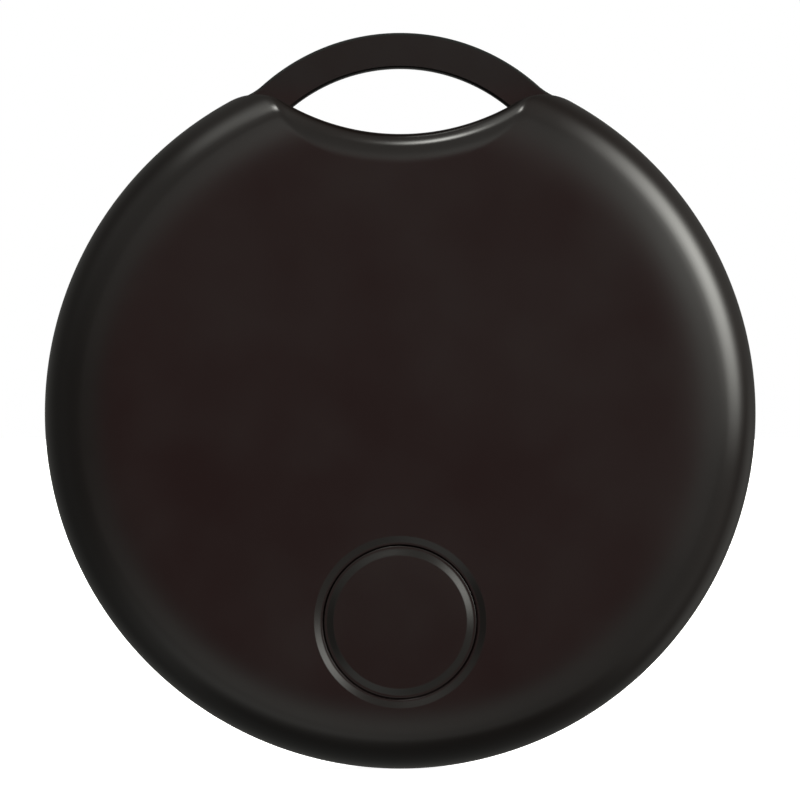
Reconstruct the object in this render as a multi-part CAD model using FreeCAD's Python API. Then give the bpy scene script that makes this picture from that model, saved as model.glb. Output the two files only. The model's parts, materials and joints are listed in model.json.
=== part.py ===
import FreeCAD, Part
import math
import os

# Round tracker tag with an integral key-ring loop, a press button on its front face and a
# removable rear cover over a coin cell.  Millimetres.
# Frame: +Z towards the loop, the front face looks along -Y, +X to the right seen from the front.
# Origin: on the axis of the round body, in the plane of the rear face.
# "Depth" below is the distance from the rear face towards the front, so y = -depth.

V = FreeCAD.Vector
AX = V(0, 1, 0)

# ------------------------------------------------------------------ driving dimensions
body_r = 19.0              # round body, outer radius
thick = 8.3                # rear face to front face
scallop_r = 12.19          # hollow in the body's upper edge, below the loop
scallop_z = 27.08          # height of that arc's centre
shoulder_r = 3.0           # rounded shoulders where the hollow meets the round edge
roll_w = 1.95              # front edge roll: width seen from the front
roll_d = 2.75              # front edge roll: depth of its quarter ellipse
crown_r = 14.0             # the front face is flat inside this radius and falls gently away outside it
crown_k = 0.0045           # that fall, mm per mm cubed
scallop_roll = 1.1         # front edge rounding along the hollow and shoulders

loop_r = 11.04             # loop, outer arc
loop_z = 9.29              # height of its centre
loop_in_r = 9.08           # loop, inner arc
loop_in_z = 9.365
loop_base_r = 18.85        # circle the loop's roots blend into
loop_root_r = 3.2          # concave blend at the roots
loop_d0, loop_d1 = 2.75, 5.5   # loop between these depths
loop_edge = 0.15           # loop edge chamfer

cover_d = 2.2              # rear cover side wall, depth
seam = 0.15                # shadow gap between cover and housing
wall = 1.25                # side wall of the housing
front_wall = 1.1
rear_wall = 1.1
cover_edge = 1.05          # rounding of the cover's rear edge

tongue_out, tongue_in = 1.35, 2.0   # cover's tongue, offsets from the outline
tongue_d = 3.5

btn_z = -11.11             # press button
btn_r = 4.05
btn_gap = 0.10
btn_bevel = 0.55           # stepped edge of the cap and of its opening: width from the front
ap_bevel = 0.46
bevel_deg = 23.0           # tilt of the slope out of the front face
bevel_depth = 0.14         # depth of the shelf below the front face
btn_flange_r = 4.70
travel = 0.20

cell_z = -2.0              # coin cell, 20 mm x 3.2 mm
cell_r = 10.0
cell_d0, cell_d1 = 1.40, 4.60

pcb_d0, pcb_d1 = 5.10, 5.90
pcb_off = 1.60

screws = [(13.2, -7.0), (-13.2, -7.0), (0.0, 11.55)]
piezo_x, piezo_z = 0.0, 2.2

os.makedirs("parts", exist_ok=True)


# ------------------------------------------------------------------ helpers
def cyl(r, d0, d1, x=0.0, z=0.0):
    return Part.makeCylinder(r, d1 - d0, V(x, -d1, z), AX)


def ring(ro, ri, d0, d1, x=0.0, z=0.0):
    return cyl(ro, d0, d1, x, z).cut(cyl(ri, d0 - 1, d1 + 1, x, z))


def box(x0, x1, z0, z1, d0, d1):
    return Part.makeBox(x1 - x0, d1 - d0, z1 - z0, V(x0, -d1, z0))


def p(x, z, d):
    return V(x, -d, z)


def arc(a, m, b):
    return Part.Arc(a, m, b).toShape()


def unit(x, z):
    n = math.hypot(x, z)
    return x / n, z / n


# centre of a shoulder's rounding: inside the body circle, outside the hollow's arc
_k1, _k2 = body_r - shoulder_r, scallop_r + shoulder_r
sh_z = (scallop_z**2 + _k1**2 - _k2**2) / (2 * scallop_z)
sh_x = math.sqrt(_k1**2 - sh_z**2)


def outline(off, d, big=None):
    """Closed outline of the body, off mm inside its edge, at depth d."""
    r = shoulder_r - off
    R = (body_r if big is None else big) - off
    ux, uz = unit(sh_x, sh_z)
    a = (sh_x + r * ux, sh_z + r * uz)            # on the round edge
    wx, wz = unit(sh_x, sh_z - scallop_z)
    b = (sh_x - r * wx, sh_z - r * wz)            # on the hollow
    mx, mz = unit(ux - wx, uz - wz)
    m = (sh_x + r * mx, sh_z + r * mz)
    Rs = scallop_r + off
    e = [
        arc(p(a[0], a[1], d), p(0, -R, d), p(-a[0], a[1], d)),
        arc(p(-a[0], a[1], d), p(-m[0], m[1], d), p(-b[0], b[1], d)),
        arc(p(-b[0], b[1], d), p(0, scallop_z - Rs, d), p(b[0], b[1], d)),
        arc(p(b[0], b[1], d), p(m[0], m[1], d), p(a[0], a[1], d)),
    ]
    return Part.Wire(e)


def prism(off, d0, d1):
    return Part.Face(outline(off, d1)).extrude(V(0, d1 - d0, 0))


def edges_at(shape, d, tol=1e-4):
    return [e for e in shape.Edges if all(abs(v.Point.y + d) < tol for v in e.Vertexes) and abs(e.CenterOfMass.y + d) < tol]


def soft(shape, r, edges):
    """Round the edges, or leave them if the kernel cannot."""
    try:
        s = shape.makeFillet(r, edges)
        if s.isValid() and s.Volume > 0.5 * shape.Volume:
            return s
    except Exception:
        pass
    print("edge rounding left out", r, len(edges))
    return shape


def revolve(points, x=0.0, z=0.0):
    """Solid of revolution about a Y axis through (x, z); points are (radius, depth) or ready edges."""
    face = Part.Face(Part.Wire(points))
    s = face.revolve(V(0, 0, 0), AX, 360)
    s.translate(V(x, 0, z))
    return s


def seg(a, b):
    return Part.LineSegment(V(a[0], -a[1], 0), V(b[0], -b[1], 0)).toShape()


def qarc(a, m, b):
    return Part.Arc(V(a[0], -a[1], 0), V(m[0], -m[1], 0), V(b[0], -b[1], 0)).toShape()


def quarter(cr, cd, r, a0, a1):
    """Arc about (radius cr, depth cd); angles measured from +radius towards +depth."""
    f = lambda t: (cr + r * math.cos(math.radians(t)), cd + r * math.sin(math.radians(t)))
    return qarc(f(a0), f((a0 + a1) / 2), f(a1))


def strip(path, t, z0, z1, x=0.0):
    """Thin sheet strip: path of (x, depth) points, thickness t on its left, extruded from z0 to z1."""
    n = len(path)
    nrm = []
    for i in range(n - 1):
        dx, dd = unit(path[i + 1][0] - path[i][0], path[i + 1][1] - path[i][1])
        nrm.append((-dd, dx))
    other = []
    for i in range(n):
        if i == 0:
            k = nrm[0]
            s = 1.0
        elif i == n - 1:
            k = nrm[-1]
            s = 1.0
        else:
            k = unit(nrm[i - 1][0] + nrm[i][0], nrm[i - 1][1] + nrm[i][1])
            s = 1.0 / (k[0] * nrm[i][0] + k[1] * nrm[i][1])
        other.append((path[i][0] + k[0] * t * s, path[i][1] + k[1] * t * s))
    pts = list(path) + other[::-1]
    w = Part.makePolygon([V(x + a, -b, z0) for a, b in pts] + [V(x + pts[0][0], -pts[0][1], z0)])
    return Part.Face(w).extrude(V(0, 0, z1 - z0))


def one(shape):
    shape = shape.removeSplitter()
    return shape


def save(shape, name):
    solids = shape.Solids
    if not shape.isValid():
        print("NOT VALID", name)
    out = solids[0] if len(solids) == 1 else Part.makeCompound(solids)
    out.exportStep("parts/%s.step" % name)
    bb = out.BoundBox
    print("%-22s solids %2d  vol %9.3f  x %7.2f %7.2f  y %6.2f %6.2f  z %7.2f %7.2f" % (
        name, len(solids), sum(s.Volume for s in solids), bb.XMin, bb.XMax, bb.YMin, bb.YMax, bb.ZMin, bb.ZMax))


# ------------------------------------------------------------------ front housing
h0 = cover_d + seam
# profile of the front: flat, a gentle crown, then a quarter ellipse round to the side wall


def fall(r):
    return crown_k * max(0.0, r - crown_r) ** 3


r1 = body_r - roll_w
crown = Part.BSplineCurve()
n = 10
rs = [crown_r + (r1 - crown_r) * i / n for i in range(n + 1)]
slope = 3 * crown_k * (r1 - crown_r) ** 2
crown.interpolate(Points=[V(r, fall(r) - thick, 0) for r in rs], InitialTangent=V(1, 0, 0), FinalTangent=V(1, slope, 0))
n = 14
ts = [math.pi / 2 * i / n for i in range(n + 1)]
roll = Part.BSplineCurve()
roll.interpolate(
    Points=[V(r1 + roll_w * math.sin(t), fall(r1 + roll_w * math.sin(t)) + roll_d * (1 - math.cos(t)) - thick, 0) for t in ts],
    InitialTangent=V(roll_w, roll_w * slope, 0), FinalTangent=V(0, roll_d, 0))
side_d = thick - roll_d - fall(body_r)            # the straight side wall starts at this depth
dome = revolve([
    seg((0, h0), (0, thick)), seg((0, thick), (crown_r, thick)), crown.toShape(), roll.toShape(),
    seg((body_r, side_d), (body_r, h0)), seg((body_r, h0), (0, h0)),
])
slab = prism(0, h0, thick)
slab = soft(slab, scallop_roll, edges_at(slab, thick))
shell = dome.common(slab)
shell = soft(shell, 0.12, edges_at(shell, h0))

# loop: a flat strap standing up from the round edge, set lower than the front face
q1, q2 = loop_base_r + loop_root_r, loop_r + loop_root_r
fz = (loop_z**2 + q1**2 - q2**2) / (2 * loop_z)
fx = math.sqrt(q1**2 - fz**2)
bx, bz = unit(fx, fz)
tb = (loop_base_r * bx, loop_base_r * bz)                # root blend meets the base circle
lx, lz = unit(fx, fz - loop_z)
tl = (loop_r * lx, loop_z + loop_r * lz)                 # root blend meets the loop's arc
mx, mz = unit(-bx - lx, -bz - lz)
tm = (fx + loop_root_r * mx, fz + loop_root_r * mz)
d = loop_d1
loop_w = Part.Wire([
    arc(p(tb[0], tb[1], d), p(0, -loop_base_r, d), p(-tb[0], tb[1], d)),
    arc(p(-tb[0], tb[1], d), p(-tm[0], tm[1], d), p(-tl[0], tl[1], d)),
    arc(p(-tl[0], tl[1], d), p(0, loop_z + loop_r, d), p(tl[0], tl[1], d)),
    arc(p(tl[0], tl[1], d), p(tm[0], tm[1], d), p(tb[0], tb[1], d)),
])
loop = Part.Face(loop_w).extrude(V(0, loop_d1 - loop_d0, 0))
loop = loop.cut(cyl(loop_in_r, loop_d0 - 1, loop_d1 + 1, 0, loop_in_z))
loop = loop.makeChamfer(loop_edge, edges_at(loop, loop_d0) + edges_at(loop, loop_d1))
loop = loop.cut(prism(0.55, loop_d0 - 1, loop_d1 + 1))
loop = max(loop.Solids, key=lambda s: s.BoundBox.ZMax) if len(loop.Solids) > 1 else loop
shell = shell.fuse(loop).removeSplitter()

# cavity, with a rounded inner corner at the front wall
cav = prism(wall, h0 - 1, thick - front_wall)
cav = soft(cav, 0.75, edges_at(cav, thick - front_wall))
housing = shell.cut(cav)

# shallow groove all round inside the wall, where the cover's snap beads sit
groove = prism(wall - 0.12, 2.95, 3.35).cut(prism(wall + 0.5, 2.5, 3.6))
housing = housing.cut(groove)



def bevel(r_wall, width, side):
    """Edge between a round wall and the flat front: a shallow slope, then a narrow shelf beside the wall.
    side is 1 for a cap (the wall outside the slope), -1 for a hole. Edges run from the wall to the front."""
    big, small, h = 0.15, 0.04, bevel_depth
    b = math.radians(bevel_deg)
    r0 = r_wall - side * width                     # the flat front ends here
    x1, y1 = r0 + side * big * math.sin(b), thick - big * (1 - math.cos(b))
    y2 = thick - h + big * (1 - math.cos(b))
    x2 = x1 + side * (y1 - y2) / math.tan(b)
    x3 = x2 + side * big * math.sin(b)             # the shelf starts here
    yc = thick - h - small
    if side > 0:
        a = [quarter(r_wall - small, yc, small, 0, 90)]
        foot, head = (270, 270 - bevel_deg), (90 - bevel_deg, 90)
    else:
        a = [quarter(r_wall + small, yc, small, 180, 90)]
        foot, head = (270, 270 + bevel_deg), (90 + bevel_deg, 90)
    return yc, a + [
        seg((r_wall - side * small, thick - h), (x3, thick - h)),
        quarter(x3, thick - h + big, big, *foot),
        seg((x2, y2), (x1, y1)),
        quarter(r0, thick - big, big, *head),
    ]


# button opening with a bevelled outer edge
ap_r = btn_r + btn_gap
ap_y, ap_edge = bevel(ap_r, ap_bevel, -1)
ap = revolve([
    seg((0, thick - front_wall - 0.5), (ap_r, thick - front_wall - 0.5)),
    seg((ap_r, thick - front_wall - 0.5), (ap_r, ap_y)),
    *ap_edge,
    seg((ap_r + ap_bevel, thick), (ap_r + ap_bevel, thick + 0.5)),
    seg((ap_r + ap_bevel, thick + 0.5), (0, thick + 0.5)),
    seg((0, thick + 0.5), (0, thick - front_wall - 0.5)),
], 0, btn_z)
housing = housing.cut(ap)

# guide ring for the button flange, screw bosses and the buzzer's locating ring
housing = housing.fuse(ring(5.55, 4.95, 6.75, thick - front_wall + 0.1, 0, btn_z))
for sx, sz in screws:
    housing = housing.fuse(cyl(1.5, pcb_d1, thick - front_wall + 0.1, sx, sz))
housing = housing.fuse(ring(7.95, 7.45, 6.95, thick - front_wall + 0.1, piezo_x, piezo_z))
for sx, sz in screws:
    housing = housing.cut(cyl(0.60, pcb_d1 - 0.5, 7.55, sx, sz))
housing = one(housing)
save(housing, "front_housing")

# ------------------------------------------------------------------ rear cover
cover = prism(0, 0, cover_d)
cover = soft(cover, cover_edge, edges_at(cover, 0))
cover = soft(cover, 0.12, edges_at(cover, cover_d))
cover = cover.fuse(prism(tongue_out, cover_d - 0.4, tongue_d))
inner = prism(tongue_in, rear_wall, tongue_d + 1)
inner = soft(inner, 0.3, edges_at(inner, rear_wall))
cover = cover.cut(inner)
# groove round the tongue's root for the seal
cover = cover.cut(prism(tongue_out - 0.02, 2.32, 2.78).cut(prism(tongue_out + 0.32, 2.0, 3.0)))
# chamfered lead-in at the tongue's free edge is left plain; snap beads in four places
bead_r = body_r - tongue_out
for deg in (20, 160, 215, 325):
    a = math.radians(deg)
    bead = Part.makeCylinder(0.17, 5.0, V(0, 0, -2.5), V(0, 0, 1))
    bead.translate(V(bead_r - 0.105, -3.15, 0))
    bead.rotate(V(0, 0, 0), AX, -deg)
    bead = bead.common(cyl(body_r - wall - 0.035, 2.8, 3.6))
    cover = cover.fuse(bead)
# pry notch in the side, on the seam, at the lower edge
notch = box(-3.2, 3.2, -body_r - 1, -body_r + 0.75, 1.25, cover_d + 0.01)
notch = soft(notch, 0.45, [e for e in notch.Edges if abs(e.CenterOfMass.y + 1.25) < 1e-4 and abs(e.CenterOfMass.z - (-body_r + 0.75)) < 1e-4])
cover = cover.cut(notch)
cover = one(cover)
save(cover, "rear_cover")

seal = prism(tongue_out - 0.07, 2.37, 2.73).cut(prism(tongue_out + 0.30, 2.0, 3.0))
save(seal, "cover_seal")

cell_pad = cyl(6.0, rear_wall, cell_d0 - 0.03, 0, cell_z)
save(cell_pad, "cell_pad")

# ------------------------------------------------------------------ press button
cap_y, cap_edge = bevel(btn_r, btn_bevel, 1)
cap = revolve([
    seg((0, 6.8), (btn_flange_r, 6.8)), seg((btn_flange_r, 6.8), (btn_flange_r, 7.1)),
    seg((btn_flange_r, 7.1), (btn_r, 7.1)), seg((btn_r, 7.1), (btn_r, cap_y)),
    *cap_edge,
    seg((btn_r - btn_bevel, thick), (0, thick)), seg((0, thick), (0, 6.8)),
], 0, btn_z)
# hollow on the inside, as moulded
cap = cap.cut(ring(3.3, 1.5, 6.5, 7.35, 0, btn_z))
save(cap, "button_cap")
pad = cyl(1.5, 6.62, 6.8, 0, btn_z).fuse(cyl(0.85, 6.53, 6.7, 0, btn_z))
save(one(pad), "button_pad")

# ------------------------------------------------------------------ tactile switch under the button
hs = 2.25
sw = box(-hs, hs, btn_z - hs, btn_z + hs, pcb_d1, 6.30)
sw = sw.cut(cyl(1.85, 5.97, 6.5, 0, btn_z))
save(sw, "switch_base")
# snap dome: a shallow sheet-metal dome in three conical steps, 0.08 thick
sdome = revolve([
    seg((0, 6.10), (0.7, 6.10)), seg((0.7, 6.10), (1.3, 6.05)), seg((1.3, 6.05), (1.72, 5.98)),
    seg((1.72, 5.98), (1.72, 6.06)), seg((1.72, 6.06), (1.3, 6.13)), seg((1.3, 6.13), (0.7, 6.18)),
    seg((0.7, 6.18), (0, 6.18)), seg((0, 6.18), (0, 6.10)),
], 0, btn_z)
save(sdome, "switch_dome")
plunger = cyl(1.3, 6.19, 6.27, 0, btn_z).fuse(cyl(0.9, 6.2, 6.50, 0, btn_z))
save(one(plunger), "switch_plunger")
sc = box(-hs, hs, btn_z - hs, btn_z + hs, 6.30, 6.38).cut(cyl(0.95, 6.2, 6.5, 0, btn_z))
for s in (-1, 1):
    sc = sc.fuse(box(min(s * hs, s * (hs + 0.08)), max(s * hs, s * (hs + 0.08)), btn_z - 0.8, btn_z + 0.8, 6.0, 6.38))
save(one(sc), "switch_cover")

# ------------------------------------------------------------------ circuit board
pcb = prism(pcb_off, pcb_d0, pcb_d1)
for sx, sz in screws:
    pcb = pcb.cut(cyl(0.75, pcb_d0 - 1, pcb_d1 + 1, sx, sz))
pcb = pcb.cut(cyl(0.5, pcb_d0 - 1, pcb_d1 + 1, 15.6, 3.0))
save(pcb, "circuit_board")


def chip(x, z, w, h, t, rear=False):
    if rear:
        return box(x - w / 2, x + w / 2, z - h / 2, z + h / 2, pcb_d0 - t, pcb_d0)
    return box(x - w / 2, x + w / 2, z - h / 2, z + h / 2, pcb_d1, pcb_d1 + t)


save(chip(-11.6, 2.6, 5.0, 5.0, 0.55), "bluetooth_soc")
xt = chip(-11.2, 8.0, 2.0, 1.6, 0.45)
save(xt, "crystal_main")
save(chip(-11.6, -2.6, 3.2, 1.5, 0.6), "crystal_clock")
save(chip(10.2, 10.6, 3.2, 1.6, 0.9), "chip_antenna")
caps = [(-8.0, -5.6), (-9.6, -5.6), (-14.9, 4.4), (-14.9, 2.6), (-14.9, 0.8), (-8.2, 8.6), (11.4, 6.0), (11.4, 4.6), (9.6, -4.4), (11.2, -4.4), (6.6, -11.6), (6.6, -13.0)]
save(Part.makeCompound([chip(x, z, 1.0, 0.5, 0.5) for x, z in caps]), "smd_capacitors")
ress = [(-8.0, -6.6), (-9.6, -6.6), (13.4, 6.0), (13.4, 4.6), (9.6, -5.4), (-6.6, -11.6), (-6.6, -13.0)]
save(Part.makeCompound([chip(x, z, 1.0, 0.5, 0.35) for x, z in ress]), "smd_resistors")
save(Part.makeCompound([chip(12.0, 1.6, 2.0, 1.6, 0.8), chip(12.6, -1.0, 1.6, 0.8, 0.7)]), "inductors")

# ------------------------------------------------------------------ buzzer on the inside of the front wall
fw = thick - front_wall
save(ring(7.2, 5.8, 6.97, fw, piezo_x, piezo_z), "buzzer_foam_ring")
save(cyl(7.2, 6.82, 6.97, piezo_x, piezo_z), "buzzer_brass_disc")
save(cyl(5.0, 6.68, 6.82, piezo_x, piezo_z), "buzzer_ceramic_disc")


def c_spring(x, z, h, w=1.0, ln=1.9):
    """C-shaped contact spring standing on the board, h high."""
    path = [(0, pcb_d1), (ln, pcb_d1), (ln, pcb_d1 + h * 0.5), (ln * 0.15, pcb_d1 + h - 0.10), (-0.15, pcb_d1 + h * 0.62)]
    return strip([(a + x, b) for a, b in path], 0.10, z - w / 2, z + w / 2)


save(c_spring(-1.0, 2.2, 6.68 - pcb_d1), "buzzer_spring_inner")
save(c_spring(5.4, 2.2, 6.82 - pcb_d1, ln=1.5), "buzzer_spring_outer")

# ------------------------------------------------------------------ battery frame and contacts
fr_in, fr_out = cell_r + 0.15, cell_r + 1.1
frame = ring(fr_out, fr_in, 1.9, pcb_d0, 0, cell_z)
frame = frame.fuse(ring(fr_in + 0.2, 9.2, 4.42, pcb_d0, 0, cell_z))
for sx, sz in screws:
    ux, uz = unit(sx, sz - cell_z)
    L = math.hypot(sx, sz - cell_z)
    ear = Part.makeBox(L - fr_in - 0.3, 1.0, 3.0, V(fr_in + 0.3, -pcb_d0, -1.5))
    ear.rotate(V(0, 0, 0), AX, -math.degrees(math.atan2(uz, ux)))
    ear.translate(V(0, 0, cell_z))
    frame = frame.fuse(ear).fuse(cyl(1.6, 4.1, pcb_d0, sx, sz))
frame = frame.cut(cyl(fr_in, 0, 4.42, 0, cell_z))
for sx, sz in screws:
    frame = frame.cut(cyl(0.70, 3.0, pcb_d0 + 1, sx, sz))
# finger notch for lifting the cell, and the slot for the side contact
nb = Part.makeBox(4, 2.2, 6.5, V(fr_in - 0.6, -4.1, -3.25))
nb.rotate(V(0, 0, 0), AX, -60 + 120)
nb.translate(V(0, 0, cell_z))
frame = frame.cut(nb)
frame = frame.cut(box(-fr_out - 1, -fr_in + 1.0, cell_z - 1.7, cell_z + 1.7, 1.0, 4.55))
frame = frame.cut(box(-fr_out - 1, -fr_in - 0.35, cell_z - 1.7, cell_z + 1.7, 1.0, pcb_d0 + 1))
# channels in the frame's foot where the cell's lower contact reaches in
frame = one(frame)
save(frame, "battery_frame")

pos = strip([(-14.2, pcb_d0), (-11.35, pcb_d0), (-11.35, 2.5), (-10.65, 2.5), (-10.24, 3.4), (-10.85, 4.3)],
            -0.18, cell_z - 1.3, cell_z + 1.3)
save(pos, "positive_contact")

neg = box(-4.0, 4.0, cell_z - 1.6, cell_z + 1.6, pcb_d0 - 0.15, pcb_d0)
for s, zc in ((1, 0.95), (-1, -0.95)):
    f = strip([(s * -3.2, pcb_d0 - 0.10), (s * 3.0, cell_d1 + 0.15), (s * 4.6, cell_d1 + 0.32)], -0.12 * s, cell_z + zc - 0.55, cell_z + zc + 0.55)
    neg = neg.fuse(f)
save(one(neg), "negative_contact")

sh = Part.makeCompound([
    cyl(1.05, 3.5, 4.1, sx, sz).cut(box(sx - 0.75, sx + 0.75, sz - 0.13, sz + 0.13, 3.3, 3.75)).cut(box(sx - 0.13, sx + 0.13, sz - 0.75, sz + 0.75, 3.3, 3.75)).fuse(cyl(0.58, 4.05, 7.45, sx, sz)).removeSplitter()
    for sx, sz in screws
])
save(sh, "frame_screws")

# ------------------------------------------------------------------ coin cell
can = cyl(cell_r, cell_d0, 4.37, 0, cell_z)
can = soft(can, 0.35, edges_at(can, cell_d0))
can = soft(can, 0.25, edges_at(can, 4.37))
can = can.cut(cyl(9.75, cell_d0 + 0.25, 4.17, 0, cell_z)).cut(cyl(9.25, 4.0, 5.0, 0, cell_z))
save(can, "coin_cell_can")
gasket = ring(9.73, 9.3, cell_d0 + 0.27, 4.15, 0, cell_z).fuse(ring(9.4, 9.0, 3.95, 4.40, 0, cell_z).cut(ring(12, 9.22, 4.14, 5, 0, cell_z)))
gasket = gasket.cut(cyl(9.02, 3.9, 5.0, 0, cell_z))
save(one(gasket), "coin_cell_gasket")
ccap = cyl(9.27, cell_d0 + 0.55, 3.93, 0, cell_z).fuse(cyl(8.98, 3.8, cell_d1, 0, cell_z))
ccap = soft(ccap, 0.2, edges_at(ccap, cell_d1))
ccap = ccap.cut(cyl(9.05, cell_d0, 3.73, 0, cell_z)).cut(cyl(8.75, 3.5, cell_d1 - 0.2, 0, cell_z))
save(one(ccap), "coin_cell_cap")
save(cyl(8.7, cell_d0 + 0.30, cell_d1 - 0.25, 0, cell_z), "coin_cell_electrodes")
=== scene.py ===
import json
import math

import bpy
import bmesh
import numpy as np
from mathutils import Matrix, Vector, geometry

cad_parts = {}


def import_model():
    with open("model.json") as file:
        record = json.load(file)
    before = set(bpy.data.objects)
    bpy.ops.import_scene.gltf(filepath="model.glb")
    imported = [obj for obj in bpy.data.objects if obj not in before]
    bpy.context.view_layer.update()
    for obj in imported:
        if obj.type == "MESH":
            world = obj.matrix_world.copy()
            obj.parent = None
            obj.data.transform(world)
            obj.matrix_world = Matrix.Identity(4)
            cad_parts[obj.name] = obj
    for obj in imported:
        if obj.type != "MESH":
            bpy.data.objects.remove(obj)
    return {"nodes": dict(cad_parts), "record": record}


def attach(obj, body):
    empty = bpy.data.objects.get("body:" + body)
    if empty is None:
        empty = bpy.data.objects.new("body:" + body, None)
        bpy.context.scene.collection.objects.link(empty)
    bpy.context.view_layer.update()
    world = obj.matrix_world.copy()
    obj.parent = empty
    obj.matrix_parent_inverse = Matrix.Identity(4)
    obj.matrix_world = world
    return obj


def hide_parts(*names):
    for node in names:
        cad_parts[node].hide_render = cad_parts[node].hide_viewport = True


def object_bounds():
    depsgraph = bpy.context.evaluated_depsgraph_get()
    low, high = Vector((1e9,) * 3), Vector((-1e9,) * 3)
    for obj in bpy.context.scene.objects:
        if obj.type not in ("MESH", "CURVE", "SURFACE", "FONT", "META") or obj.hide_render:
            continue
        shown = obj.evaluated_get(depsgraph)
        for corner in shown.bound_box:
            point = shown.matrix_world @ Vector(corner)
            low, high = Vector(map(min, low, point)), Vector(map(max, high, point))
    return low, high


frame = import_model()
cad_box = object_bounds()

MM = 0.001
nodes = frame["nodes"]

# ---------------------------------------------------------------- sizes shared with the CAD (mm)
R = 19.0
T = 8.3
SC_R, SC_Z = 12.19, 27.08
SH_R = 3.0
ROLL_W, ROLL_D = 1.95, 2.75
CROWN_R, CROWN_K = 14.0, 0.0045
SC_ROLL = 0.75
SC_SOFT, SC_SOFT_K = 1.6, 0.13                      # gentle lead-in to that rounding
LOOP_R, LOOP_Z = 11.04, 9.29
LOOP_IR, LOOP_IZ = 9.08, 9.365
LOOP_BASE, LOOP_ROOT = 18.85, 3.2
LOOP_D0, LOOP_D1 = 2.75, 5.5
LOOP_EDGE = 0.12
COVER_D, SEAM = 2.2, 0.15
WALL, FRONT_WALL, REAR_WALL = 1.25, 1.1, 1.1
COVER_EDGE = 1.05
TONGUE_OUT, TONGUE_IN, TONGUE_D = 1.35, 2.0, 3.5
BTN_Z, BTN_R, BTN_GAP = -11.11, 4.05, 0.10
BTN_BEVEL, AP_BEVEL, BEVEL_DEG, BEVEL_DEPTH = 0.51, 0.46, 21.0, 0.125
H0 = COVER_D + SEAM
SCREWS = [(13.2, -7.0), (-13.2, -7.0), (0.0, 11.55)]

k1, k2 = R - SH_R, SC_R + SH_R
SHZ = (SC_Z**2 + k1**2 - k2**2) / (2 * SC_Z)
SHX = math.sqrt(k1**2 - SHZ**2)
A_ANG = math.atan2(SHZ, SHX)                       # shoulder meets the round edge
B_ANG = math.atan2(SC_Z - SHZ, -SHX)               # shoulder meets the hollow


# ---------------------------------------------------------------- outline of the body
def make_outline():
    P, N = [], []

    def add(p, n):
        P.append(p)
        N.append(n)

    tb = math.atan2(SHX, SC_Z - SHZ)
    for t in np.linspace(-tb, tb, 97)[:-1]:
        add((SC_R * math.sin(t), SC_Z - SC_R * math.cos(t)), (-math.sin(t), math.cos(t)))
    for t in np.linspace(B_ANG, A_ANG, 33)[:-1]:
        add((SHX + SH_R * math.cos(t), SHZ + SH_R * math.sin(t)), (math.cos(t), math.sin(t)))
    a1 = -math.pi - A_ANG
    for t in np.linspace(A_ANG, a1, 421)[:-1]:
        add((R * math.cos(t), R * math.sin(t)), (math.cos(t), math.sin(t)))
    for t in np.linspace(math.pi - A_ANG, math.pi - B_ANG, 33)[:-1]:
        add((-SHX + SH_R * math.cos(t), SHZ + SH_R * math.sin(t)), (math.cos(t), math.sin(t)))
    return np.array(P), np.array(N)


OUT_P, OUT_N = make_outline()
NS = len(OUT_P)


def inset(e):
    return OUT_P - OUT_N * e


def edge_distance(x, z):
    """Distance inside the outline, and the outward direction of the nearest edge."""
    r = np.hypot(x, z) + 1e-12
    e_c = R - r
    sx, sz = x, z - SC_Z
    rs = np.hypot(sx, sz) + 1e-12
    e_s = rs - SC_R
    e = np.minimum(e_c, e_s)
    nx = np.where(e_c <= e_s, x / r, -sx / rs)
    nz = np.where(e_c <= e_s, z / r, -sz / rs)
    ax = np.abs(x)
    cx, cz = ax - SHX, z - SHZ
    rc = np.hypot(cx, cz) + 1e-12
    ang = np.arctan2(cz, cx)
    w = (ang >= A_ANG) & (ang <= B_ANG)
    e = np.where(w, SH_R - rc, e)
    nx = np.where(w, np.sign(x) * cx / rc, nx)
    nz = np.where(w, cz / rc, nz)
    return e, nx, nz


def sink(x, z):
    """How far the front lies behind its flat face at (x, z)."""
    r = np.hypot(x, z) + 1e-12
    e = np.clip(edge_distance(x, z)[0], 1e-7, None)
    c = np.maximum(r - CROWN_R, 0)
    q = np.clip((r - (R - ROLL_W)) / ROLL_W, 0, 1 - 1e-7)
    a = CROWN_K * c**3 + ROLL_D * (1 - np.sqrt(1 - q * q))
    u = np.clip((SC_ROLL - e) / SC_ROLL, 0, 1 - 1e-7)
    b = SC_ROLL * (1 - np.sqrt(1 - u * u)) + SC_SOFT_K * np.clip(SC_SOFT - e, 0, None) ** 2
    return (a**4 + b**4) ** 0.25


def fall(x, z):
    """The same, and the slope there."""
    h = 2e-4
    return sink(x, z), (sink(x + h, z) - sink(x - h, z)) / (2 * h), (sink(x, z + h) - sink(x, z - h)) / (2 * h)


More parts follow.
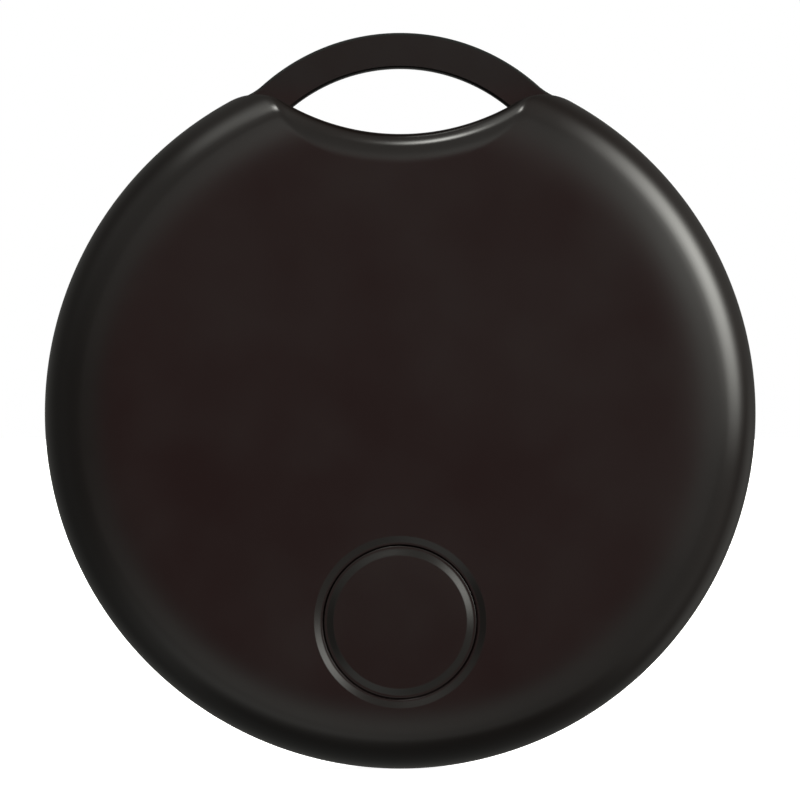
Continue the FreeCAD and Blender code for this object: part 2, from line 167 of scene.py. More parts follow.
# ---------------------------------------------------------------- mesh building
class Builder:
    def __init__(self):
        self.v = []
        self.f = []
        self.n = 0

    def ring(self, xz, y):
        """Adds a loop of points; y is a number or one per point. Returns their indices."""
        xz = np.asarray(xz)
        y = np.broadcast_to(y, len(xz))
        i0 = self.n
        self.v += [(float(a), float(c), float(b)) for (a, b), c in zip(xz, y)]
        self.n += len(xz)
        return list(range(i0, self.n))

    def bridge(self, a, b):
        m = len(a)
        for i in range(m):
            j = (i + 1) % m
            self.f.append((a[i], a[j], b[j], b[i]))

    def fill(self, outer, holes=(), y=None, step=0.7, flip=False):
        """Fills the flat-ish space inside one loop and outside others with triangles on an even grid."""
        loops = [outer, *holes]
        pts, idx, edges = [], [], []
        for lp in loops:
            k = len(pts)
            for i in lp:
                pts.append((self.v[i][0], self.v[i][2]))
                idx.append(i)
            m = len(lp)
            edges += [(k + i, k + (i + 1) % m) for i in range(m)]
        poly = [np.array([(self.v[i][0], self.v[i][2]) for i in lp]) for lp in loops]
        lo, hi = poly[0].min(0), poly[0].max(0)
        gx, gz = np.meshgrid(np.arange(lo[0], hi[0], step), np.arange(lo[1], hi[1], step * 0.866))
        gx = gx + (np.arange(gx.shape[0])[:, None] % 2) * step * 0.5
        g = np.c_[gx.ravel(), gz.ravel()]
        keep = inside(g, poly[0])
        for h in poly[1:]:
            keep &= ~inside(g, h)
        g = g[keep]
        bound = np.concatenate(poly)
        far = np.array([((bound - q) ** 2).sum(1).min() > (0.55 * step) ** 2 for q in g]) if len(g) else np.zeros(0, bool)
        g = g[far]
        ys = y(g) if callable(y) else np.full(len(g), self.v[outer[0]][1] if y is None else y)
        extra = self.ring(g, ys) if len(g) else []
        pts += [tuple(q) for q in g]
        idx += extra
        res = geometry.delaunay_2d_cdt([Vector(q) for q in pts], edges, [], 0, 1e-9)
        tv, tf, orig = np.array([tuple(q) for q in res[0]]), res[2], res[3]
        tri = np.array(tf)
        cen = tv[tri].mean(1)
        keep = inside(cen, poly[0])
        for h in poly[1:]:
            keep &= ~inside(cen, h)
        for t in tri[keep]:
            q = [idx[orig[i][0]] for i in t]
            self.f.append(tuple(q[::-1]) if flip else tuple(q))

    def mesh(self, name):
        me = bpy.data.meshes.new(name)
        me.from_pydata(self.v, [], self.f)
        me.validate()
        bm = bmesh.new()
        bm.from_mesh(me)
        bmesh.ops.recalc_face_normals(bm, faces=bm.faces)
        bm.to_mesh(me)
        bm.free()
        return me


def inside(p, poly):
    x, z = p[:, 0], p[:, 1]
    c = np.zeros(len(p), bool)
    x0, z0 = poly[:, 0], poly[:, 1]
    x1, z1 = np.roll(x0, -1), np.roll(z0, -1)
    for a, b, d, e in zip(x0, z0, x1, z1):
        if b == e:
            continue
        hit = ((b > z) != (e > z)) & (x < (d - a) * (z - b) / (e - b) + a)
        c ^= hit
    return c


def circle(r, x=0.0, z=0.0, n=128):
    t = np.linspace(0, 2 * math.pi, n, endpoint=False)
    return np.c_[x + r * np.cos(t), z + r * np.sin(t)]


def arc_pts(c0, c1, r, a0, a1, n):
    """Points (offset, depth) along an arc about (c0, c1); angles in degrees."""
    return [(c0 + r * math.cos(math.radians(t)), c1 + r * math.sin(math.radians(t))) for t in np.linspace(a0, a1, n)]


def lathe(profile, x=0.0, z=0.0, n=128, name="lathe"):
    """Closed solid of revolution about a Y axis; profile is (radius, depth), starting and ending on the axis or closed."""
    b = Builder()
    rings = [b.ring(circle(r, x, z, n), -d) for r, d in profile]
    for p, q in zip(rings, rings[1:]):
        b.bridge(p, q)
    b.bridge(rings[-1], rings[0])
    return b.mesh(name)


def lathe_capped(profile, x=0.0, z=0.0, n=128, name="lathe"):
    b = Builder()
    rings = [b.ring(circle(r, x, z, n), -d) for r, d in profile]
    for p, q in zip(rings, rings[1:]):
        b.bridge(p, q)
    b.f.append(tuple(rings[0]))
    b.f.append(tuple(rings[-1]))
    return b.mesh(name)


def obj(me, name):
    o = bpy.data.objects.new(name, me)
    bpy.context.scene.collection.objects.link(o)
    return o


def boolean(a, b, op):
    m = a.modifiers.new("b", "BOOLEAN")
    m.operation = op
    m.solver = "EXACT"
    m.object = b
    bpy.context.view_layer.update()
    dg = bpy.context.evaluated_depsgraph_get()
    me = bpy.data.meshes.new_from_object(a.evaluated_get(dg))
    a.modifiers.clear()
    old = a.data
    a.data = me
    bpy.data.meshes.remove(old)
    bpy.data.objects.remove(b)


def to_metres(o):
    me = o.data
    co = np.zeros(len(me.vertices) * 3, np.float64)
    me.vertices.foreach_get("co", co)
    me.vertices.foreach_set("co", co * MM)
    me.update()


def corner_data(me):
    nl = len(me.loops)
    vi = np.zeros(nl, np.int64)
    me.loops.foreach_get("vertex_index", vi)
    co = np.zeros(len(me.vertices) * 3)
    me.vertices.foreach_get("co", co)
    co = co.reshape(-1, 3)
    start = np.zeros(len(me.polygons), np.int64)
    total = np.zeros(len(me.polygons), np.int64)
    me.polygons.foreach_get("loop_start", start)
    me.polygons.foreach_get("loop_total", total)
    pn = np.zeros(len(me.polygons) * 3)
    me.polygons.foreach_get("normal", pn)
    fn = np.repeat(pn.reshape(-1, 3), total, axis=0)
    order = np.concatenate([np.arange(s, s + t) for s, t in zip(start, total)])
    face = np.zeros((nl, 3))
    face[order] = fn
    return vi, co, face


def shade(o, surfaces=(), angle=32):
    """Smooth shading with sharp edges by angle, and exact normals wherever a corner lies on one of the given surfaces.
    surfaces: functions of (x, y, z arrays) returning (on the surface?, normals)."""
    me = o.data
    me.polygons.foreach_set("use_smooth", [True] * len(me.polygons))
    me.set_sharp_from_angle(angle=math.radians(angle))
    me.update()
    vi, co, face = corner_data(me)
    base = np.zeros(len(me.loops) * 3)
    me.corner_normals.foreach_get("vector", base)
    nrm = base.reshape(-1, 3).copy()
    p = co[vi]
    done = np.zeros(len(vi), bool)
    for s in surfaces:
        on, n = s(p[:, 0], p[:, 1], p[:, 2])
        ok = on & ((n * face).sum(1) > 0.86) & ~done
        nrm[ok] = n[ok]
        done |= ok
    ln = np.linalg.norm(nrm, axis=1)
    bad = ln < 1e-6
    nrm[bad] = face[bad]
    nrm /= np.maximum(np.linalg.norm(nrm, axis=1), 1e-9)[:, None]
    me.normals_split_custom_set([tuple(q) for q in nrm])
    me.update()


# ---- exact surfaces of the body, in mm
def s_front(x, y, z):
    d, gx, gz = fall(x, z)
    n = np.c_[gx, -np.ones(len(x)), gz]
    n /= np.linalg.norm(n, axis=1)[:, None]
    e, _, _ = edge_distance(x, z)
    return (np.abs(y + T - d) < 2e-3) & (e > 0.004), n


def s_side(x, y, z):
    e, nx, nz = edge_distance(x, z)
    return np.abs(e) < 0.006, np.c_[nx, np.zeros(len(x)), nz]


def bevel(r_wall, width, side):
    """(radius, depth below the front): down a shallow slope, across a narrow shelf, to the round wall.
    side is 1 for a cap, -1 for a hole."""
    big, small, h = 0.15, 0.02, BEVEL_DEPTH
    b = math.radians(BEVEL_DEG)
    r0 = r_wall - side * width
    pts = []
    for t in np.linspace(0, b, 9):
        pts.append((r0 + side * big * math.sin(t), big * (1 - math.cos(t))))
    x1, y1 = pts[-1]
    y2 = h - big * (1 - math.cos(b))
    x2 = x1 + side * (y2 - y1) / math.tan(b)
    pts += [(x1 + (x2 - x1) * f, y1 + (y2 - y1) * f) for f in (0.2, 0.5, 0.8)]
    x3 = x2 + side * big * math.sin(b)
    for t in np.linspace(b, 0, 7):
        pts.append((x3 - side * big * math.sin(t), h - big * (1 - math.cos(t))))
    pts.append(((x3 + r_wall - side * small) / 2, h))
    for t in np.linspace(0, math.pi / 2, 7):
        pts.append((r_wall - side * small * (1 - math.sin(t)), h + small * (1 - math.cos(t))))
    return pts


# ---------------------------------------------------------------- front housing
def build_housing():
    b = Builder()
    # front face, from the side wall inwards
    K, E = 30, 2.2
    rings = []
    for k in range(K + 1):
        e = E * (k / K) ** 2
        xz = inset(e)
        xs = xz if k else inset(1e-6)
        d, _, _ = fall(xs[:, 0], xs[:, 1])
        rings.append(b.ring(xz, -T + d))
    for p, q in zip(rings, rings[1:]):
        b.bridge(p, q)
    # button opening: rolled edge and bore
    ap = BTN_R + BTN_GAP
    hole = []
    edge = bevel(ap, AP_BEVEL, -1)
    for r, dd in edge:
        xz = circle(r, 0, BTN_Z, 192)
        d, _, _ = fall(xz[:, 0], xz[:, 1])
        hole.append(b.ring(xz, -T + dd + d * (1 - dd / edge[-1][1])))
    for p, q in zip(hole, hole[1:]):
        b.bridge(p, q)
    b.fill(rings[-1], [hole[0]], y=lambda g: -T + fall(g[:, 0], g[:, 1])[0], step=0.6)
    # side wall, rear rim, inner wall with its groove, inner corner
    side = [rings[0]]
    y0 = np.array([b.v[i][1] for i in rings[0]])
    for f in (0.34, 0.67):
        side.append(b.ring(OUT_P, y0 * (1 - f) + (-H0 - 0.12) * f))
    for o_, d_ in arc_pts(0.12, H0 + 0.12, 0.12, 180, 270, 6):
        side.append(b.ring(inset(o_), -d_))
    prof = [(WALL - 0.05, H0), (WALL, H0 + 0.05), (WALL, 2.95), (WALL - 0.12, 2.99), (WALL - 0.12, 3.31), (WALL, 3.35), (WALL, 4.6)]
    prof += arc_pts(WALL + 0.75, T - FRONT_WALL - 0.75, 0.75, 180, 90, 7)
    for o_, d_ in prof:
        side.append(b.ring(inset(o_), -d_))
    for p, q in zip(side, side[1:]):
        b.bridge(p, q)
    low = b.ring(circle(ap, 0, BTN_Z, 192), -(T - FRONT_WALL))
    b.bridge(hole[-1], low)
    b.fill(side[-1], [low], step=1.6, flip=True)
    o = obj(b.mesh("housing_shell"), "housing_shell")

    # keyring loop: rounded strap between an outer and an inner arc, wider at its roots
    q1, q2 = LOOP_BASE + LOOP_ROOT, LOOP_R + LOOP_ROOT
    fz = (LOOP_Z**2 + q1**2 - q2**2) / (2 * LOOP_Z)
    fx = math.sqrt(q1**2 - fz**2)
    a_t = math.atan2(fz - LOOP_Z, fx)              # loop arc meets the root blend
    out = []
    b0 = math.atan2(-fz, -fx)
    b1 = math.atan2(LOOP_Z - fz, -fx)
    for t in np.linspace(b0, b1, 22)[:-1]:
        out.append((fx + LOOP_ROOT * math.cos(t), fz + LOOP_ROOT * math.sin(t)))
    for t in np.linspace(a_t, math.pi - a_t, 140):
        out.append((LOOP_R * math.cos(t), LOOP_Z + LOOP_R * math.sin(t)))
    for x, z in out[:21][::-1]:
        out.append((-x, z))
    out = np.array(out)
    b = Builder()
    cs = []
    g = LOOP_EDGE
    dm = (LOOP_D0 + LOOP_D1) / 2
    hd = (LOOP_D1 - LOOP_D0) / 2
    for po in out:
        w = po - np.array((0, LOOP_IZ))
        u = w / np.linalg.norm(w)
        pi = np.array((0, LOOP_IZ)) + u * LOOP_IR
        W = np.linalg.norm(po - pi)
        k = 0.24
        sec = [(W, hd - k), (W - g, hd), (g, hd), (0, hd - k), (0, -hd + k), (g, -hd), (W - g, -hd), (W, -hd + k)]
        xz = np.array([pi + u * s[0] for s in sec])
        cs.append(b.ring(xz, np.array([-(dm + s[1]) for s in sec])))
    for p, q in zip(cs, cs[1:]):
        b.bridge(p, q)
    b.f.append(tuple(cs[0]))
    b.f.append(tuple(cs[-1]))
    boolean(o, obj(b.mesh("strap"), "strap"), "UNION")

    # guide ring, screw bosses, buzzer's locating ring
    fw = T - FRONT_WALL + 0.3
    boolean(o, obj(lathe([(4.95, 6.75), (5.55, 6.75), (5.55, fw), (4.95, fw)], 0, BTN_Z, 96), "g"), "UNION")
    boolean(o, obj(lathe([(7.45, 6.95), (7.95, 6.95), (7.95, fw), (7.45, fw)], 0, 2.2, 96), "g"), "UNION")
    for sx, sz in SCREWS:
        boolean(o, obj(lathe_capped([(1.5, 5.9), (1.5, fw)], sx, sz, 48), "g"), "UNION")
        boolean(o, obj(lathe_capped([(0.6, 5.0), (0.6, 7.55)], sx, sz, 40), "g"), "DIFFERENCE")
    shade(o, (s_front, s_side))
    to_metres(o)
    return o


# ---------------------------------------------------------------- rear cover
def build_cover():
    b = Builder()
    prof = arc_pts(COVER_EDGE, COVER_EDGE, COVER_EDGE, 270, 180, 15)
    prof += [(0.0, COVER_D - 0.35)]
    prof += arc_pts(0.12, COVER_D - 0.12, 0.12, 180, 90, 6)
    prof += [(TONGUE_OUT, COVER_D), (TONGUE_OUT, 2.32), (TONGUE_OUT + 0.32, 2.32), (TONGUE_OUT + 0.32, 2.78),
             (TONGUE_OUT, 2.78), (TONGUE_OUT, TONGUE_D - 0.1), (TONGUE_OUT + 0.1, TONGUE_D),
             (TONGUE_IN - 0.06, TONGUE_D), (TONGUE_IN, TONGUE_D - 0.06)]
    prof += arc_pts(TONGUE_IN + 0.3, REAR_WALL + 0.3, 0.3, 180, 270, 5)
    rings = [b.ring(inset(o_), -d_) for o_, d_ in prof]
    for p, q in zip(rings, rings[1:]):
        b.bridge(p, q)
    b.fill(rings[0], step=1.6)
    b.fill(rings[-1], step=1.6, flip=True)
    o = obj(b.mesh("cover_shell"), "cover_shell")
    # snap beads on the tongue
    for deg in (20, 160, 215, 325):
        c, s = math.cos(math.radians(deg)), math.sin(math.radians(deg))
        b = Builder()
        cs = []
        rr = R - TONGUE_OUT
        for t in np.linspace(-2.5, 2.5, 21):
            h = 0.065 * min(1.0, (2.5 - abs(t)) / 0.35)
            sec = [(rr - 0.2, 3.0)] + [(rr + h * math.sin(math.radians(w)), 3.15 - 0.13 * math.cos(math.radians(w))) for w in np.linspace(0, 180, 9)] + [(rr - 0.2, 3.3)]
            xz = []
            for q, _ in sec:
                # along the round tongue, not straight
                a = t / rr
                xz.append((q * (c * math.cos(a) - s * math.sin(a)), q * (s * math.cos(a) + c * math.sin(a))))
            cs.append(b.ring(xz, np.array([-d for _, d in sec])))
        for p, q in zip(cs, cs[1:]):
            b.bridge(p, q)
        b.f.append(tuple(cs[0]))
        b.f.append(tuple(cs[-1]))
        boolean(o, obj(b.mesh("bead"), "bead"), "UNION")
    # pry notch on the seam, at the lower edge
    b = Builder()
    z1 = -R + 0.75
    sec = [(-20.5, 1.25), (z1 - 0.45, 1.25)] + [(z1 - 0.45 + 0.45 * math.sin(math.radians(w)), 1.7 - 0.45 * math.cos(math.radians(w))) for w in np.linspace(0, 90, 9)][1:] + [(z1, 2.6), (-20.5, 2.6)]
    cs = []
    for x in (-3.2, 3.2):
        i0 = b.n
        b.v += [(x, -d, z) for z, d in sec]
        b.n += len(sec)
        cs.append(list(range(i0, b.n)))
    b.bridge(cs[0], cs[1])
    b.f.append(tuple(cs[0]))
    b.f.append(tuple(cs[1]))
    boolean(o, obj(b.mesh("notch"), "notch"), "DIFFERENCE")
    shade(o, (s_side,))
    to_metres(o)
    return o


# ---------------------------------------------------------------- press button
def build_button():
    prof = [(0.02, T)]
    prof += [(q, T) for q in (1.2, 2.4)]
    prof += [(r, T - dd) for r, dd in bevel(BTN_R, BTN_BEVEL, 1)]
    prof += [(BTN_R, 7.16), (BTN_R + 0.06, 7.1), (4.66, 7.1), (4.70, 7.06), (4.70, 6.84), (4.66, 6.8), (3.3, 6.8), (3.3, 7.35), (1.5, 7.35), (1.5, 6.8), (0.02, 6.8)]
    o = obj(lathe_capped(prof, 0, BTN_Z, 192, "button"), "button")
    shade(o, (), 28)
    to_metres(o)
    return o


# ---------------------------------------------------------------- materials
def new_mat(name):
    m = bpy.data.materials.new(name)
    m.use_nodes = True
    nt = m.node_tree
    return m, nt, nt.nodes["Principled BSDF"]


def nd(nt, kind, **kw):
    n = nt.nodes.new(kind)
    for k, v in kw.items():
        if k.startswith("i_"):
            n.inputs[k[2:].replace("_", " ")].default_value = v
        else:
            setattr(n, k, v)
    return n


def coords(nt):
    return nd(nt, "ShaderNodeTexCoord").outputs["Object"]


def ramp(nt, stops, fac):
    r = nd(nt, "ShaderNodeValToRGB")
    el = r.color_ramp.elements
    el[0].position, el[0].color = stops[0]
    el[1].position, el[1].color = stops[-1]
    for p, c in stops[1:-1]:
        e = el.new(p)
        e.color = c
    nt.links.new(fac, r.inputs["Fac"])
    return r.outputs["Color"]


def rgb(c, a=1.0):
    return (*c, a)


def plastic(name, col, rough=0.2, grain=0.25, spread=0.04, ior=1.5, painted_cool_reflection=None):
    """Moulded plastic: fine mould texture, slow gloss variation from handling."""
    m, nt, p = new_mat(name)
    co = coords(nt)
    slow = nd(nt, "ShaderNodeTexNoise", i_Scale=160.0, i_Detail=4.0, i_Roughness=0.55)
    nt.links.new(co, slow.inputs["Vector"])
    fine = nd(nt, "ShaderNodeTexNoise", i_Scale=9000.0, i_Detail=3.0, i_Roughness=0.6)
    nt.links.new(co, fine.inputs["Vector"])
    c = ramp(nt, [(0.3, rgb([q * 0.9 for q in col])), (0.7, rgb([q * 1.1 for q in col]))], slow.outputs["Fac"])
    if painted_cool_reflection:
        # painted reflection: the loop and the tops of the shoulders are tinted cooler than the body, standing in for
        # the cooler surround they reflect
        sx = nd(nt, "ShaderNodeSeparateXYZ")
        nt.links.new(co, sx.inputs[0])
        painted_reflection_mask = nd(nt, "ShaderNodeMapRange")
        painted_reflection_mask.inputs["From Min"].default_value, painted_reflection_mask.inputs["From Max"].default_value = 0.0168, 0.0178
        nt.links.new(sx.outputs[2], painted_reflection_mask.inputs["Value"])
        mx = nd(nt, "ShaderNodeMix", data_type="RGBA")
        nt.links.new(painted_reflection_mask.outputs["Result"], mx.inputs["Factor"])
        nt.links.new(c, mx.inputs[6])
        mx.inputs[7].default_value = rgb(painted_cool_reflection)
        c = mx.outputs[2]
    nt.links.new(c, p.inputs["Base Color"])
    rr = nd(nt, "ShaderNodeMapRange")
    rr.inputs["From Min"].default_value, rr.inputs["From Max"].default_value = 0.3, 0.7
    rr.inputs["To Min"].default_value, rr.inputs["To Max"].default_value = rough - spread, rough + spread
    nt.links.new(slow.outputs["Fac"], rr.inputs["Value"])
    nt.links.new(rr.outputs["Result"], p.inputs["Roughness"])
    bump = nd(nt, "ShaderNodeBump", i_Strength=grain)
    bump.inputs["Distance"].default_value = 0.000004
    nt.links.new(fine.outputs["Fac"], bump.inputs["Height"])
    nt.links.new(bump.outputs["Normal"], p.inputs["Normal"])
    p.inputs["IOR"].default_value = ior
    return m


def metal(name, col, rough=0.28, ring=None, scale=5000.0):
    """Sheet metal or turned metal: fine brushing and slight tarnish."""
    m, nt, p = new_mat(name)
    co = coords(nt)
    mp = nd(nt, "ShaderNodeMapping")
    mp.inputs["Scale"].default_value = (1.0, 1.0, 0.04)
    nt.links.new(co, mp.inputs["Vector"])
    br = nd(nt, "ShaderNodeTexNoise", i_Scale=scale, i_Detail=2.0)
    nt.links.new(mp.outputs["Vector"], br.inputs["Vector"])
    sl = nd(nt, "ShaderNodeTexNoise", i_Scale=350.0, i_Detail=3.0)
    nt.links.new(co, sl.inputs["Vector"])
    c = ramp(nt, [(0.3, rgb([q * 0.88 for q in col])), (0.7, rgb([min(1, q * 1.06) for q in col]))], sl.outputs["Fac"])
    nt.links.new(c, p.inputs["Base Color"])
    rr = nd(nt, "ShaderNodeMapRange")
    rr.inputs["To Min"].default_value, rr.inputs["To Max"].default_value = rough - 0.08, rough + 0.1
    nt.links.new(br.outputs["Fac"], rr.inputs["Value"])
    nt.links.new(rr.outputs["Result"], p.inputs["Roughness"])
    bump = nd(nt, "ShaderNodeBump", i_Strength=0.3)
    bump.inputs["Distance"].default_value = 0.000003
    nt.links.new(br.outputs["Fac"], bump.inputs["Height"])
    nt.links.new(bump.outputs["Normal"], p.inputs["Normal"])
    p.inputs["Metallic"].default_value = 1.0
    return m


def board_mat():
    m, nt, p = new_mat("board")
    co = coords(nt)
    vo = nd(nt, "ShaderNodeTexVoronoi", i_Scale=900.0)
    vo.distance = "CHEBYCHEV"
    vo.feature = "F1"
    nt.links.new(co, vo.inputs["Vector"])
    v2 = nd(nt, "ShaderNodeTexVoronoi", i_Scale=420.0)
    v2.feature = "DISTANCE_TO_EDGE"
    nt.links.new(co, v2.inputs["Vector"])
    tr = nd(nt, "ShaderNodeMath", operation="LESS_THAN")
    nt.links.new(v2.outputs["Distance"], tr.inputs[0])
    tr.inputs[1].default_value = 0.06
    c = ramp(nt, [(0.0, (0.004, 0.035, 0.02, 1)), (1.0, (0.012, 0.085, 0.045, 1))], tr.outputs[0])
    nt.links.new(c, p.inputs["Base Color"])
    p.inputs["Roughness"].default_value = 0.35
    bump = nd(nt, "ShaderNodeBump", i_Strength=0.4)
    bump.inputs["Distance"].default_value = 0.00002
    nt.links.new(tr.outputs[0], bump.inputs["Height"])
    nt.links.new(bump.outputs["Normal"], p.inputs["Normal"])
    return m


def ceramic(name, col, rough=0.55):
    return plastic(name, col, rough, 0.6, 0.06)


# the last colour is a painted reflection: a cooler tint high up on the loop, standing in for the cooler surround it
# reflects
shell_mat = plastic("housing_plastic", (0.0047, 0.0028, 0.0023), 0.2, 0.22, 0.025, painted_cool_reflection=(0.0034, 0.0048, 0.0042))
button_mat = plastic("button_plastic", (0.0050, 0.0037, 0.0031), 0.2, 0.22, 0.025)
slot_mats = {
    "housing_plastic": shell_mat,
    "button_plastic": button_mat,
    "silicone": plastic("silicone", (0.012, 0.012, 0.013), 0.62, 0.4, 0.05),
    "switch_plastic": plastic("switch_plastic", (0.01, 0.01, 0.011), 0.5, 0.5, 0.05),
    "spring_steel": metal("spring_steel", (0.62, 0.62, 0.6), 0.26),
    "board": board_mat(),
    "chip_black": plastic("chip_black", (0.008, 0.008, 0.009), 0.55, 0.9, 0.05),
    "can_steel": metal("can_steel", (0.66, 0.65, 0.62), 0.3),
    "antenna_ceramic": ceramic("antenna_ceramic", (0.62, 0.66, 0.6)),
    "capacitor_ceramic": ceramic("capacitor_ceramic", (0.33, 0.22, 0.12)),
    "ferrite": ceramic("ferrite", (0.03, 0.03, 0.032)),
    "brass": metal("brass", (0.72, 0.5, 0.2), 0.3),
    "piezo_ceramic": ceramic("piezo_ceramic", (0.68, 0.64, 0.55)),
    "foam": plastic("foam", (0.012, 0.012, 0.012), 0.85, 1.0, 0.05),
    "gold_spring": metal("gold_spring", (0.8, 0.58, 0.26), 0.22),
    "frame_plastic": plastic("frame_plastic", (0.011, 0.011, 0.012), 0.45, 0.7, 0.05),
    "screw_steel": metal("screw_steel", (0.5, 0.5, 0.5), 0.3),
    "cell_steel": metal("cell_steel", (0.66, 0.66, 0.65), 0.24),
    "gasket_nylon": plastic("gasket_nylon", (0.55, 0.55, 0.5), 0.5, 0.3, 0.04),
    "electrodes": ceramic("electrodes", (0.02, 0.02, 0.022)),
}
slot_of = {s["node"]: s["material_slot"] for s in frame["record"]["subparts"]}


def finish_with(o, m):
    o.data.materials.clear()
    o.data.materials.append(m)


for name, o in nodes.items():
    m = slot_mats[slot_of[name]]
    for s in o.material_slots:
        s.material = m
    if not o.material_slots:
        o.data.materials.append(m)

# ---------------------------------------------------------------- pieces
housing = build_housing()
finish_with(housing, shell_mat)
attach(housing, "housing")
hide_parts("front_housing")

cover = build_cover()
finish_with(cover, shell_mat)
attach(cover, "cover")
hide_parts("rear_cover")

button = build_button()
finish_with(button, button_mat)
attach(button, "button")
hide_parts("button_cap")

# ---------------------------------------------------------------- stage, camera, light
scene = bpy.context.scene
lo, hi = cad_box
mid = (lo + hi) / 2

bm = bmesh.new()
bmesh.ops.create_circle(bm, cap_ends=True, radius=6.0, segments=96)
fm = bpy.data.meshes.new("floor")
bm.to_mesh(fm)
bm.free()
floor = obj(fm, "floor")
floor.location = (0, 0, lo.z - 0.00002)
m, nt, p = new_mat("floor")
p.inputs["Base Color"].default_value = (0.9, 0.9, 0.9, 1)
p.inputs["Roughness"].default_value = 0.9
p.inputs["Specular IOR Level"].default_value = 0.1
p.inputs["Emission Color"].default_value = (1, 1, 1, 1)
p.inputs["Emission Strength"].default_value = 0.97
fm.materials.append(m)
floor.visible_glossy = False
floor.visible_diffuse = False

cam_data = bpy.data.cameras.new("camera")
cam_data.sensor_width = 36.0
cam_data.lens = 600.0
cam = bpy.data.objects.new("camera", cam_data)
scene.collection.objects.link(cam)
view_h = 0.042766                                  # height of the view in the plane of the body's widest edge
dist = view_h / (36.0 / 600.0)
cam.location = (-0.00001, lo.y + 0.0033 - dist, mid.z + 0.000045)
cam.rotation_euler = (math.radians(90), 0, 0)
cam_data.clip_start, cam_data.clip_end = 0.005, 50.0
scene.camera = cam


def toward(off, az):
    """Unit vector off degrees away from the direction of the viewer, leaning to az degrees round the front (0 right, 90 up)."""
    o, a = math.radians(off), math.radians(az)
    return Vector((math.sin(o) * math.cos(a), -math.cos(o), math.sin(o) * math.sin(a)))


def area(name, off, az, dist, w, h, radiance, col=(1, 1, 1)):
    """Rectangular soft box; w across the off direction, h round the az direction. radiance is its brightness."""
    ld = bpy.data.lights.new(name, "AREA")
    ld.shape = "RECTANGLE"
    ld.size, ld.size_y = w, h
    ld.energy = radiance * w * h * math.pi
    ld.color = col
    o = bpy.data.objects.new(name, ld)
    scene.collection.objects.link(o)
    d = toward(off, az)
    a = math.radians(az)
    up = Vector((-math.sin(a), 0, math.cos(a)))    # round the az direction
    z = d
    x = up.cross(z).normalized()
    from mathutils import Matrix
    mrot = Matrix((x, up, z)).transposed().to_4x4()
    mrot.translation = d * dist + mid
    o.matrix_world = mrot
    return o


area("softbox_right", 78, 27, 0.6, 0.10, 0.10, 0.5)
area("softbox_top", 66, 100, 0.6, 0.10, 0.10, 0.5)

world = bpy.data.worlds.new("studio")
scene.world = world
world.use_nodes = True
nt = world.node_tree
nt.nodes.clear()
out = nd(nt, "ShaderNodeOutputWorld")
lp = nd(nt, "ShaderNodeLightPath")
seen = nd(nt, "ShaderNodeBackground")
seen.inputs["Color"].default_value = (1, 1, 1, 1)
room = nd(nt, "ShaderNodeBackground")
tc = nd(nt, "ShaderNodeTexCoord")
sep = nd(nt, "ShaderNodeSeparateXYZ")
nt.links.new(tc.outputs["Generated"], sep.inputs[0])
X, Y, Z = sep.outputs[0], sep.outputs[1], sep.outputs[2]


def mth(op, a, b=None, c=None, clamp=False):
    n = nd(nt, "ShaderNodeMath", operation=op, use_clamp=clamp)
    for i, q in enumerate((a, b, c)):
        if q is None:
            continue
        if isinstance(q, (int, float)):
            n.inputs[i].default_value = q
        else:
            nt.links.new(q, n.inputs[i])
    return n.outputs[0]


def step(v, lo_, hi_):
    """0 below lo_, 1 above hi_, smooth between; the other way round if lo_ > hi_."""
    n = nd(nt, "ShaderNodeMapRange")
    n.interpolation_type = "SMOOTHSTEP"
    a, b = (lo_, hi_) if lo_ < hi_ else (hi_, lo_)
    n.inputs["From Min"].default_value = a
    n.inputs["From Max"].default_value = b
    if lo_ > hi_:
        n.inputs["To Min"].default_value, n.inputs["To Max"].default_value = 1.0, 0.0
    nt.links.new(v, n.inputs["Value"])
    return n.outputs["Result"]


def curve(v, stops):
    """Piecewise value through (position, level) points."""
    top = max(q for _, q in stops)
    n = nd(nt, "ShaderNodeValToRGB")
    n.color_ramp.interpolation = "B_SPLINE"
    el = n.color_ramp.elements
    el[0].position, el[0].color = stops[0][0], (*[stops[0][1] / top] * 3, 1)
    el[1].position, el[1].color = stops[-1][0], (*[stops[-1][1] / top] * 3, 1)
    for p_, q in stops[1:-1]:
        e = el.new(p_)
        e.color = (*[q / top] * 3, 1)
    nt.links.new(v, n.inputs["Fac"])
    return mth("MULTIPLY", n.outputs["Color"], top)


def mul(*a):
    r = a[0]
    for q in a[1:]:
        r = mth("MULTIPLY", r, q)
    return r


def plus(*a):
    r = a[0]
    for q in a[1:]:
        r = mth("ADD", r, q)
    return r


# angle away from the viewer, and the sideways direction as a unit (x, z) pair
off = mth("MULTIPLY", mth("ARCCOSINE", mth("MULTIPLY", Y, -1.0)), 180 / math.pi)
rad = mth("MAXIMUM", mth("SQRT", plus(mul(X, X), mul(Z, Z))), 1e-4)
ux, uz = mth("DIVIDE", X, rad), mth("DIVIDE", Z, rad)


def round_to(az):
    """Cosine of the angle between a direction's azimuth and az."""
    a = math.radians(az)
    return plus(mul(ux, math.cos(a)), mul(uz, math.sin(a)))


def wedge(az, inner, outer):
    return step(round_to(az), math.cos(math.radians(outer)), math.cos(math.radians(inner)))


def strip(az, outer, power):
    """Like wedge, but peaked in the middle."""
    n = nd(nt, "ShaderNodeMapRange")
    n.inputs["From Min"].default_value = math.cos(math.radians(outer))
    n.inputs["From Max"].default_value = 1.0
    nt.links.new(round_to(az), n.inputs["Value"])
    return mth("POWER", n.outputs["Result"], power)


def at(d):
    return d / 180.0


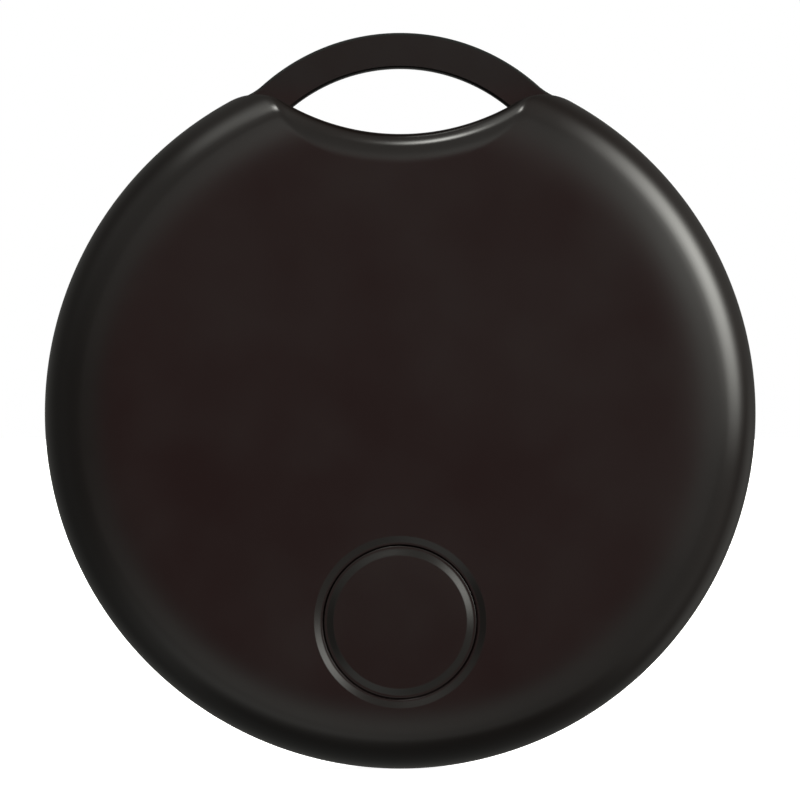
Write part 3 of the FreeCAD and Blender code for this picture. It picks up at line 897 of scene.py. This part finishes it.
# the room: soft and even, dark behind and beneath the object, with a black flag on the left
room_l = mul(step(Y, 0.55, -0.15), step(Z, -0.92, -0.62), 0.26)
flag = mul(wedge(-172, 12, 46), step(off, 2, 10))
room_l = mul(room_l, plus(1.0, mul(flag, -0.75)))
room_l = plus(room_l, 0.11)
# a dim soft patch behind, low on one side, so that the back can be made out
back = plus(mul(X, 0.683), mul(Y, 0.683), mul(Z, -0.259))
room_l = plus(room_l, mul(step(back, 0.92, 0.99), 0.13))
# low bounce from the table in front, to the left of the middle
low = mul(wedge(-118, 4, 40), curve(mth("DIVIDE", off, 180.0), [(0, 0), (at(6), 0.06), (at(30), 0.16), (at(50), 0.22), (at(72), 0.06), (at(90), 0)]))
# long softbox raking in from the right, brightest at its far end
key = mul(strip(26.5, 37, 2.15), curve(mth("DIVIDE", off, 180.0), [(0, 0), (at(3), 0.2), (at(7), 0.85), (at(12), 1.45), (at(20), 1.95), (at(34), 2.4), (at(46), 2.4), (at(58), 6.9), (at(72), 8.9), (at(88), 8.4), (at(97), 4.6), (at(106), 1.0), (at(118), 0)]))
key = plus(key, mul(strip(29, 24, 1.2), curve(mth("DIVIDE", off, 180.0), [(0, 0), (at(37), 0), (at(42), 0.9), (at(49), 1.6), (at(55), 0), (1, 0)])))
# narrow softbox above, its dim surround, and a small one nearer the viewer
top = mul(strip(99, 12.5, 1.7), curve(mth("DIVIDE", off, 180.0), [(0, 0), (at(44), 0), (at(50), 0.5), (at(56), 9.0), (at(63), 18.0), (at(71), 10.0), (at(78), 1.4), (at(86), 0), (1, 0)]))
wide = mul(wedge(118, 5, 14), curve(mth("DIVIDE", off, 180.0), [(0, 0), (at(50), 0), (at(64), 0.9), (at(80), 1.5), (at(96), 0.6), (at(110), 0)]))
near = mul(wedge(107, 8, 24), curve(mth("DIVIDE", off, 180.0), [(0, 0), (at(4), 0), (at(8), 1.1), (at(13), 1.1), (at(18), 0), (1, 0)]))
# a thin light line low down and to the left, where the wide edge begins
line = mul(plus(wedge(-112, 15, 55), mul(wedge(150, 8, 28), 0.7)), curve(mth("DIVIDE", off, 180.0), [(0, 0), (at(9), 0), (at(13), 0.5), (at(17), 0), (1, 0)]))
# what the flat front sees: a dim warm patch round the viewer
even = plus(room_l, low, line)
warm = step(off, 10.5, 5.5)
strips = plus(key, top, wide, near)
chan = []
for tint, face in ((1.0, 0.235), (1.0, 0.070), (0.94, 0.078)):
    even_c = mul(even, tint)
    d_ = mth("SUBTRACT", face, even_c)
    chan.append(plus(even_c, mul(warm, d_), mul(strips, tint)))
comb = nd(nt, "ShaderNodeCombineColor")
for i_, q in enumerate(chan):
    nt.links.new(q, comb.inputs[i_])
nt.links.new(comb.outputs[0], room.inputs["Color"])
m2 = nd(nt, "ShaderNodeMixShader")
nt.links.new(lp.outputs["Is Camera Ray"], m2.inputs[0])
nt.links.new(room.outputs[0], m2.inputs[1])
nt.links.new(seen.outputs[0], m2.inputs[2])
nt.links.new(m2.outputs[0], out.inputs["Surface"])

scene.view_settings.view_transform = "Standard"
scene.view_settings.look = "None"
scene.view_settings.exposure = 0.0
scene.view_settings.gamma = 1.0
